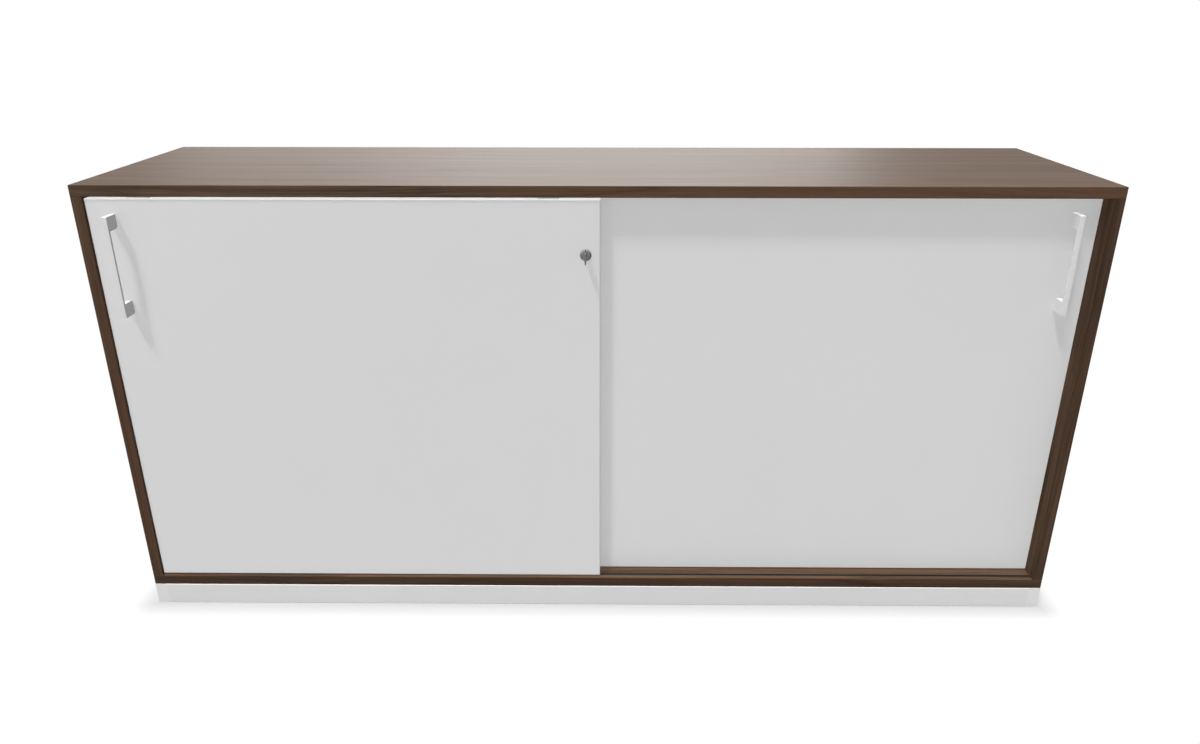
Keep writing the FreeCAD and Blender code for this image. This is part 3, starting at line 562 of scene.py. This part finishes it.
# %% Lock rosette
BORE_PLAY = 0.1 * MM
BARREL_RADIUS = 8 * MM
SHOULDER = 0.6 * MM
RIM_EDGE = 0.65 * MM
RIM_PROFILE = ((0.8, 0.15), (0.6, 0), (0.4, 0.35), (0.15, 0.35), (0, 0.6))
TOWARDS_FRONT = Matrix.Rotation(math.pi / 2, 4, "X")
housing_low, housing_high = corners_of("lock_housing")
plug_low, plug_high = corners_of("lock_plug")
door_low = corners_of("left_door_panel")[0]
lock_axis = Vector(((housing_low.x + housing_high.x) / 2, door_low.y, (housing_low.z + housing_high.z) / 2))
rosette = (housing_high.x - housing_low.x) / 2
rim = door_low.y - housing_low.y
bore = (plug_high.x - plug_low.x) / 2 + BORE_PLAY
barrel_end = door_low.y - housing_high.y
rosette_rings = [
    (bore, barrel_end, False),
    (BARREL_RADIUS, barrel_end, False),
    (BARREL_RADIUS, 0, False),
    (rosette, 0, False),
]
rosette_rings += rounded_corner(rosette, RIM_EDGE, SHOULDER, 0, 8)
rosette_rings += [(bore + out * MM, rim - drop * MM, False) for out, drop in RIM_PROFILE]
rosette_mesh = turned_mesh("lock_rosette", rosette_rings, 96, True)
lock_rosette = place_mesh(
    "lock_rosette", rosette_mesh, Matrix.Translation(lock_axis) @ TOWARDS_FRONT, satin_nickel, "left_door"
)
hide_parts("lock_housing")
print("rosette radius", rosette, "height", rim)

# %% [markdown]
# ## Key
# The key stays in the lock. It is stamped from sheet: a flat bow with a ring hole, and a blade with cuts along
# one edge. A filled two-dimensional curve suits a stamped piece, because the hole is just a second outline and
# the curve's own bevel rounds the edges.

# %% Key
def arc_points(centre, radius, start, end, steps=10):
    angles = [math.radians(start + (end - start) * step / steps) for step in range(steps + 1)]
    return [(centre[0] + radius * math.cos(a), centre[1] + radius * math.sin(a)) for a in angles]


key_low, key_high = corners_of("key")
bow_end = (door_low.y - key_low.y) / MM
blade_end = (door_low.y - key_high.y) / MM
half_bow = (key_high.z - key_low.z) / 2 / MM
thickness = (key_high.x - key_low.x) / MM
SHOULDER_AT = 6.0
HALF_BLADE = 3.9
BOW_ROUND = 3.0
SHOULDER_ROUND = 3.0
KEY_EDGE = 0.35
CUT_DEPTHS = (1.6, 0.7, 1.9, 1.1)
FIRST_CUT = 2.0
CUT_PITCH = 2.6
CUT_HALF_TOP = 1.2
CUT_HALF_FLOOR = 0.3
RING_INSET = 5.5
RING_RADIUS = 2.5
RING_STEPS = 24
WELD_DISTANCE = 1e-6
SHARP_STAMPED = math.radians(40)
outline = [(blade_end, 0), (blade_end + HALF_BLADE, -HALF_BLADE), (SHOULDER_AT, -HALF_BLADE)]
outline += arc_points((SHOULDER_AT + SHOULDER_ROUND, SHOULDER_ROUND - half_bow), SHOULDER_ROUND, 180, 270)
outline += arc_points((bow_end - BOW_ROUND, BOW_ROUND - half_bow), BOW_ROUND, 270, 360)
outline += arc_points((bow_end - BOW_ROUND, half_bow - BOW_ROUND), BOW_ROUND, 0, 90)
outline += arc_points((SHOULDER_AT + SHOULDER_ROUND, half_bow - SHOULDER_ROUND), SHOULDER_ROUND, 90, 180)
outline += [(SHOULDER_AT, HALF_BLADE)]
for number, depth in enumerate(CUT_DEPTHS):
    middle = FIRST_CUT - CUT_PITCH * number
    outline += [
        (middle + CUT_HALF_TOP, HALF_BLADE),
        (middle + CUT_HALF_FLOOR, HALF_BLADE - depth),
        (middle - CUT_HALF_FLOOR, HALF_BLADE - depth),
        (middle - CUT_HALF_TOP, HALF_BLADE),
    ]
last_angle = 360 - 360 / RING_STEPS
ring_hole = arc_points((bow_end - RING_INSET, 0), RING_RADIUS, 0, last_angle, RING_STEPS - 1)

stamp = bpy.data.curves.new("key_stamp", "CURVE")
stamp.dimensions = "2D"
stamp.fill_mode = "BOTH"
stamp.extrude = (thickness / 2 - KEY_EDGE) * MM
stamp.bevel_depth = KEY_EDGE * MM
stamp.bevel_resolution = 3
stamp.offset = -KEY_EDGE * MM
for points in (outline, ring_hole):
    spline = stamp.splines.new("POLY")
    spline.points.add(len(points) - 1)
    for point, (along, up) in zip(spline.points, points):
        point.co = (along * MM, up * MM, 0, 1)
    spline.use_cyclic_u = True
stamp_object = bpy.data.objects.new("key_stamp", stamp)
scene.collection.objects.link(stamp_object)
bpy.context.view_layer.update()
key_mesh = bpy.data.meshes.new_from_object(stamp_object.evaluated_get(bpy.context.evaluated_depsgraph_get()))
bpy.data.objects.remove(stamp_object)
shape = bmesh.new()
shape.from_mesh(key_mesh)
bmesh.ops.remove_doubles(shape, verts=shape.verts, dist=WELD_DISTANCE)
bmesh.ops.recalc_face_normals(shape, faces=shape.faces)
shape.to_mesh(key_mesh)
shape.free()
key_mesh.shade_smooth()
key_mesh.set_sharp_from_angle(angle=SHARP_STAMPED)
STAMP_TO_LOCK = Matrix(((0, 0, 1, 0), (-1, 0, 0, 0), (0, 1, 0, 0), (0, 0, 0, 1)))
lock_key = place_mesh(
    "lock_key", key_mesh, Matrix.Translation(lock_axis) @ STAMP_TO_LOCK, key_steel, "key"
)
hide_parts("key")
print("key from", bow_end, "to", blade_end, "mm before the door's face")

# %% [markdown]
# ## Rows of small fittings
# Screws hold the handles from behind, and rows of sleeves in the upright boards let the shelves be moved. Both
# repeat one small shape, so one Geometry Nodes tree makes them: at each starting point it sets a row of copies
# upwards, turned to face the way that the point's own direction says.

# %% Rows of small fittings
fitting_rows = bpy.data.node_groups.new("fitting rows", "GeometryNodeTree")
socket_of = {}
for label, kind, direction in (
    ("Starts", "NodeSocketGeometry", "INPUT"),
    ("Fitting", "NodeSocketObject", "INPUT"),
    ("Count", "NodeSocketInt", "INPUT"),
    ("Pitch", "NodeSocketFloat", "INPUT"),
    ("Finish", "NodeSocketMaterial", "INPUT"),
    ("Rows", "NodeSocketGeometry", "OUTPUT"),
):
    socket_of[label] = fitting_rows.interface.new_socket(name=label, in_out=direction, socket_type=kind).identifier
tree = fitting_rows
rows_in = tree.nodes.new("NodeGroupInput")
rows_out = tree.nodes.new("NodeGroupOutput")
step_up = add(tree, "ShaderNodeCombineXYZ")
join(tree, rows_in.outputs["Pitch"], step_up.inputs["Z"])
row = add(tree, "GeometryNodeMeshLine")
join(tree, rows_in.outputs["Count"], row.inputs["Count"])
join(tree, step_up.outputs[0], row.inputs["Offset"])
row_points = add(tree, "GeometryNodeInstanceOnPoints")
join(tree, rows_in.outputs["Starts"], row_points.inputs["Points"])
join(tree, row.outputs["Mesh"], row_points.inputs["Instance"])
spread_rows = add(tree, "GeometryNodeRealizeInstances")
join(tree, row_points.outputs["Instances"], spread_rows.inputs["Geometry"])
facing = add(tree, "GeometryNodeInputNamedAttribute", data_type="FLOAT_VECTOR")
facing.inputs["Name"].default_value = "facing"
aim = add(tree, "FunctionNodeAlignRotationToVector", axis="Z")
join(tree, facing.outputs["Attribute"], aim.inputs["Vector"])
fitting = add(tree, "GeometryNodeObjectInfo")
join(tree, rows_in.outputs["Fitting"], fitting.inputs["Object"])
copies = add(tree, "GeometryNodeInstanceOnPoints")
join(tree, spread_rows.outputs["Geometry"], copies.inputs["Points"])
join(tree, fitting.outputs["Geometry"], copies.inputs["Instance"])
join(tree, aim.outputs["Rotation"], copies.inputs["Rotation"])
whole = add(tree, "GeometryNodeRealizeInstances")
join(tree, copies.outputs["Instances"], whole.inputs["Geometry"])
painted = add(tree, "GeometryNodeSetMaterial")
join(tree, whole.outputs["Geometry"], painted.inputs["Geometry"])
join(tree, rows_in.outputs["Finish"], painted.inputs["Material"])
join(tree, painted.outputs["Geometry"], rows_out.inputs["Rows"])


def set_in_rows(name, fitting_mesh, starts, count, pitch, finish, body):
    """Rows of one fitting; each start is a point with the direction that the fitting faces."""
    base = bpy.data.meshes.new(name)
    base.from_pydata([point for point, _ in starts], [], [])
    facing_of = base.attributes.new("facing", "FLOAT_VECTOR", "POINT")
    for number, (_, direction) in enumerate(starts):
        facing_of.data[number].vector = direction
    maker = bpy.data.objects.new(name + "_maker", base)
    sample = bpy.data.objects.new(name + "_sample", fitting_mesh)
    scene.collection.objects.link(maker)
    scene.collection.objects.link(sample)
    modifier = maker.modifiers.new("rows", "NODES")
    modifier.node_group = fitting_rows
    for label, value in (("Fitting", sample), ("Count", count), ("Pitch", pitch), ("Finish", finish)):
        modifier[socket_of[label]] = value
    bpy.context.view_layer.update()
    mesh = bpy.data.meshes.new_from_object(maker.evaluated_get(bpy.context.evaluated_depsgraph_get()))
    maker.modifiers.remove(modifier)
    bpy.data.objects.remove(maker)
    bpy.data.objects.remove(sample)
    print(name, "faces", len(mesh.polygons))
    return place_mesh(name, mesh, Matrix.Identity(4), finish, body)


# %% [markdown]
# ## Handle screws
# Each post of a handle is held by a pan-head screw from the back of the door. The head is domed and has a hexagon
# socket.

# %% Handle screws
HEAD_RADIUS = 4 * MM
HEAD_HEIGHT = 2.4 * MM
SOCKET_HALF = 1.5 * MM
SOCKET_FLOOR = 1.0 * MM
HALF_POST = 11 * MM
DOME_PROFILE = ((0, 0), (0, 0.9), (0.5, 1.7), (1.3, 2.2))
DOME_INSET = 2.1 * MM
screw_rings = [(HEAD_RADIUS - inset * MM, height * MM, False) for inset, height in DOME_PROFILE]
screw_rings += [
    (HEAD_RADIUS - DOME_INSET, HEAD_HEIGHT, False),
    (SOCKET_HALF, HEAD_HEIGHT, True),
    (SOCKET_HALF, SOCKET_FLOOR, True),
]
screw_mesh = turned_mesh("handle_screw", screw_rings, 36, False)
for side in ("left", "right"):
    handle_low, handle_high = corners_of(f"{side}_handle")
    back = corners_of(f"{side}_door_panel")[1].y
    middle = (handle_low.x + handle_high.x) / 2
    heights = (handle_low.z + HALF_POST, handle_high.z - HALF_POST)
    starts = [((middle, back, height), (0, 1, 0)) for height in heights]
    set_in_rows(f"{side}_handle_screws", screw_mesh, starts, 1, 0.0, plain_steel, f"{side}_door")

# %% [markdown]
# ## Shelf sleeves
# Above and below the shelf pins, each upright has a row of sleeves at the usual pitch of 32 mm. A sleeve is a thin
# flange round a dark hole.

# %% Shelf sleeves
SLEEVE_PITCH = 32 * MM
SLEEVES_PER_ROW = 4
SLEEVE_PROFILE = ((3.6, 0), (3.5, 0.25), (2.7, 0.3), (2.5, 0.05))
sleeve_rings = [(radius * MM, height * MM, False) for radius, height in SLEEVE_PROFILE]
sleeve_mesh = turned_mesh("shelf_sleeve", sleeve_rings, 24, False)
pins_low, pins_high = corners_of("shelf_supports")
pin_level = (pins_low.z + pins_high.z) / 2
pin_radius = (pins_high.z - pins_low.z) / 2
row_depths = (pins_low.y + pin_radius, pins_high.y - pin_radius)
row_feet = (pin_level - SLEEVES_PER_ROW * SLEEVE_PITCH, pin_level + SLEEVE_PITCH)
left_face = corners_of("left_side_panel")[1].x
right_face = corners_of("right_side_panel")[0].x
partition_low, partition_high = corners_of("centre_partition")
board_faces = ((left_face, 1), (partition_low.x, -1), (partition_high.x, 1), (right_face, -1))
starts = [
    ((x, y, z), (direction, 0, 0)) for x, direction in board_faces for y in row_depths for z in row_feet
]
set_in_rows(
    "shelf_sleeves", sleeve_mesh, starts, SLEEVES_PER_ROW, SLEEVE_PITCH, black_plastic, "carcass"
)

# %% [markdown]
# ## Floor and background
# The cabinet stands on a plain pale floor that is lost in a white background. Close to the plinth the floor is matt
# grey, and for the camera and for reflections only it fades to an even white within a few centimetres. The grey ring
# is painted shade that stands in for the soft contact shadow, and the lamps' own shadows fall on it as well.

# %% Floor and background
FLOOR_HALF = 30.0
# The floor's matt grey makes the painted shade round the plinth, and SHADOW_REACH is how far that ring fades to
# white.
FLOOR_SHADE_GREY = 0.38
SHADOW_REACH = 0.040
AMBIENT = 0.05
floor_mesh = bpy.data.meshes.new("floor")
floor_corners = [
    (-FLOOR_HALF, -FLOOR_HALF, 0),
    (FLOOR_HALF, -FLOOR_HALF, 0),
    (FLOOR_HALF, FLOOR_HALF, 0),
    (-FLOOR_HALF, FLOOR_HALF, 0),
]
floor_mesh.from_pydata(floor_corners, [], [(0, 1, 2, 3)])
floor = bpy.data.objects.new("floor", floor_mesh)
scene.collection.objects.link(floor)

# Floor material with a painted shade ring round the plinth's footprint.
floor_painted_shade = bpy.data.materials.new("floor painted shade")
floor_painted_shade.use_nodes = True
tree = floor_painted_shade.node_tree
tree.nodes.clear()
path = add(tree, "ShaderNodeLightPath")
matt = add(tree, "ShaderNodeBsdfDiffuse")
matt.inputs["Color"].default_value = grey(FLOOR_SHADE_GREY)
even = add(tree, "ShaderNodeEmission")
spot = add(tree, "ShaderNodeTexCoord")
footprint_low = corners_of("plinth_left_rail")[0]
footprint_high = corners_of("plinth_right_rail")[1]
outside = spot.outputs["Object"]
for operation, amounts in (
    ("SUBTRACT", (footprint_low + footprint_high) / 2),
    ("ABSOLUTE", None),
    ("SUBTRACT", (footprint_high - footprint_low) / 2),
    ("MAXIMUM", (0, 0, 0)),
    ("MULTIPLY", (1, 1, 0)),
):
    step = add(tree, "ShaderNodeVectorMath", operation=operation)
    join(tree, outside, step.inputs[0])
    if amounts is not None:
        step.inputs[1].default_value = amounts
    outside = step.outputs["Vector"]
distance = add(tree, "ShaderNodeVectorMath", operation="LENGTH")
join(tree, outside, distance.inputs[0])
# Painted shade: 0 at the plinth's footprint and 1 at SHADOW_REACH, beyond which the floor is even white.
painted_shade_fade = remap(tree, distance.outputs["Value"], 0, SHADOW_REACH, 0, 1)
seen = arithmetic(tree, "MAXIMUM", path.outputs["Is Camera Ray"], path.outputs["Is Glossy Ray"])
white_part = arithmetic(tree, "MULTIPLY", painted_shade_fade, seen)
mixed = add(tree, "ShaderNodeMixShader")
join(tree, white_part, mixed.inputs[0])
join(tree, matt.outputs[0], mixed.inputs[1])
join(tree, even.outputs[0], mixed.inputs[2])
surface = add(tree, "ShaderNodeOutputMaterial")
join(tree, mixed.outputs[0], surface.inputs["Surface"])
floor_mesh.materials.append(floor_painted_shade)

world = bpy.data.worlds.new("studio")
scene.world = world
world.use_nodes = True
tree = world.node_tree
tree.nodes.clear()
fill = add(tree, "ShaderNodeBackground")
fill.inputs["Strength"].default_value = AMBIENT
backdrop = add(tree, "ShaderNodeBackground")
backdrop.inputs["Color"].default_value = grey(1.0)
fill.inputs["Color"].default_value = grey(1.0)
path = add(tree, "ShaderNodeLightPath")
seen = arithmetic(tree, "MAXIMUM", path.outputs["Is Camera Ray"], path.outputs["Is Glossy Ray"])
seen = arithmetic(tree, "MAXIMUM", seen, path.outputs["Is Transmission Ray"])
mixed = add(tree, "ShaderNodeMixShader")
join(tree, seen, mixed.inputs[0])
join(tree, fill.outputs[0], mixed.inputs[1])
join(tree, backdrop.outputs[0], mixed.inputs[2])
surface = add(tree, "ShaderNodeOutputWorld")
join(tree, mixed.outputs[0], surface.inputs["Surface"])
print("floor and background ready")

# %% [markdown]
# ## Lights
# The picture has a main light from the upper left that throws the faint shadows, even fill light that throws none,
# and a glow behind the cabinet that the satin top mirrors. The main light is two suns close together: a small one
# gives the shadows their crisp inner edge, and a wider one softens the outside. The fills throw no shadow and light
# directly only, without bounces. Two area lamps give the glow, because a mirrored patch has a size.

# %% Lights
SUN_PLACE = (-2, -2, 4)
FILL_SOFTNESS = 40


def aim_along(lamp, direction):
    lamp.rotation_euler = Vector(direction).to_track_quat("-Z", "Y").to_euler()


def even_light(name, direction, energy, softness, throws_shadow):
    data = bpy.data.lights.new(name, "SUN")
    data.energy = energy
    data.angle = math.radians(softness)
    data.use_shadow = throws_shadow
    if not throws_shadow:
        data.cycles.max_bounces = 0
    lamp = bpy.data.objects.new(name, data)
    lamp.location = SUN_PLACE
    scene.collection.objects.link(lamp)
    aim_along(lamp, direction)


even_light("main light", (0.287, 0.388, -0.876), 0.475, 1.5, True)
even_light("main light spread", (0.311, 0.328, -0.892), 0.70, 5.0, True)
even_light("front left fill", (0.73, 0.69, -0.20), 2.10, FILL_SOFTNESS, False)
even_light("right fill", (-1.0, 0.25, -0.10), 0.43, FILL_SOFTNESS, False)
even_light("top fill", (0.05, 0.05, -1.0), 4.12, FILL_SOFTNESS, False)

GLOW_DEPTH = 3.2
GLOW_LEVEL = 1.5
GLOW_HEIGHT = 0.7
GLOW_DROP = 0.5


def back_glow(name, middle, width, power):
    data = bpy.data.lights.new(name, "AREA")
    data.shape = "RECTANGLE"
    data.size = width
    data.size_y = GLOW_HEIGHT
    data.energy = power
    lamp = bpy.data.objects.new(name, data)
    lamp.location = (middle, GLOW_DEPTH, GLOW_LEVEL)
    lamp.visible_camera = False
    scene.collection.objects.link(lamp)
    aim_along(lamp, (0, -GLOW_DEPTH, -GLOW_DROP))


back_glow("wide glow", -0.6, 3.4, 34)
back_glow("middle glow", 0.10, 2.3, 48)
print("lights", len(bpy.data.lights))
